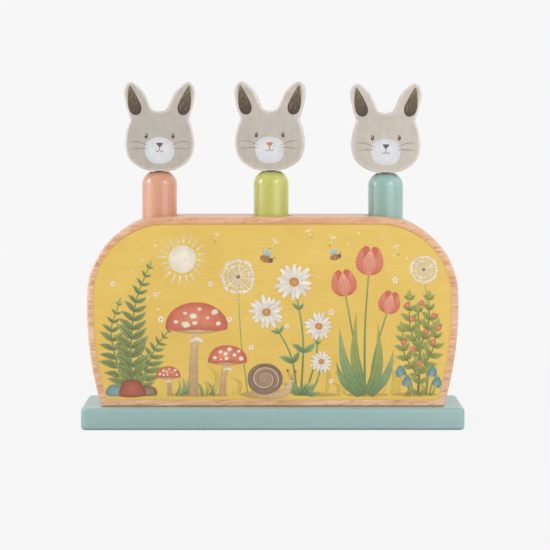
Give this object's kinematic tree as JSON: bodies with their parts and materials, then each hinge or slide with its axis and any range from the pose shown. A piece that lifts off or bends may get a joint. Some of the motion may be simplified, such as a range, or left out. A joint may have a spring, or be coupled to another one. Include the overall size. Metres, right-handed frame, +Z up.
{
  "type": "pop up toy",
  "caption": "Wooden pop-up toy: animal-headed pegs stand on springs in the bores of a rounded block on a flat base board.",
  "frame": {"origin": "middle of the base board's underside, on the surface the toy stands on", "axes": "+Z up along the pegs, +X to the right along the board's length, -Y towards the front with the printed faces"},
  "size_m": [0.216, 0.07, 0.1956],
  "materials": {
    "teal_paint": "soft satin paint in grey teal over wood, faint grain under it",
    "beech": "clear satin lacquer over bare beech with fine dark flecks",
    "panel_print": "printed warm yellow ground with a flower meadow, satin, grain shows through",
    "salmon_lacquer": "glossy salmon lacquer over turned wood",
    "green_lacquer": "glossy yellow green lacquer over turned wood",
    "blue_lacquer": "glossy pale teal lacquer over turned wood",
    "head_print": "off-white painted board with a printed grey brown face, satin",
    "dowel_wood": "raw turned birch",
    "spring_steel": "bright drawn spring wire",
    "zinc_screw": "zinc plated steel"
  },
  "bodies": {
    "base": {"base_board": "teal_paint", "body_block": "beech", "block_screw_front_left": "zinc_screw", "block_screw_front_right": "zinc_screw", "block_screw_rear_left": "zinc_screw", "block_screw_rear_right": "zinc_screw", "spring_screw_left": "zinc_screw", "spring_screw_middle": "zinc_screw", "spring_screw_right": "zinc_screw"},
    "left_spring": {"spring_left": "spring_steel"},
    "left_figure": {"peg_left": "salmon_lacquer", "neck_dowel_left": "dowel_wood", "head_left": "head_print"},
    "middle_spring": {"spring_middle": "spring_steel"},
    "middle_figure": {"peg_middle": "green_lacquer", "neck_dowel_middle": "dowel_wood", "head_middle": "head_print"},
    "right_spring": {"spring_right": "spring_steel"},
    "right_figure": {"peg_right": "blue_lacquer", "neck_dowel_right": "dowel_wood", "head_right": "head_print"}
  },
  "joints": [
    {"name": "left_press", "type": "slide", "parent": "base", "child": "left_spring", "axis": [0, 0, 1], "range_m": [-0.0245, 0], "stiffness_N_per_m": 250, "springref_m": 0.0015, "deforming": ["spring_left"]},
    {"name": "left_lift_out", "type": "slide", "parent": "left_spring", "child": "left_figure", "axis": [0, 0, 1], "range_m": [0, 0.045]},
    {"name": "middle_press", "type": "slide", "parent": "base", "child": "middle_spring", "axis": [0, 0, 1], "range_m": [-0.0248, 0], "stiffness_N_per_m": 250, "springref_m": 0.0015, "deforming": ["spring_middle"]},
    {"name": "middle_lift_out", "type": "slide", "parent": "middle_spring", "child": "middle_figure", "axis": [0, 0, 1], "range_m": [0, 0.045]},
    {"name": "right_press", "type": "slide", "parent": "base", "child": "right_spring", "axis": [0, 0, 1], "range_m": [-0.0236, 0], "stiffness_N_per_m": 250, "springref_m": 0.0015, "deforming": ["spring_right"]},
    {"name": "right_lift_out", "type": "slide", "parent": "right_spring", "child": "right_figure", "axis": [0, 0, 1], "range_m": [0, 0.045]}
  ]
}
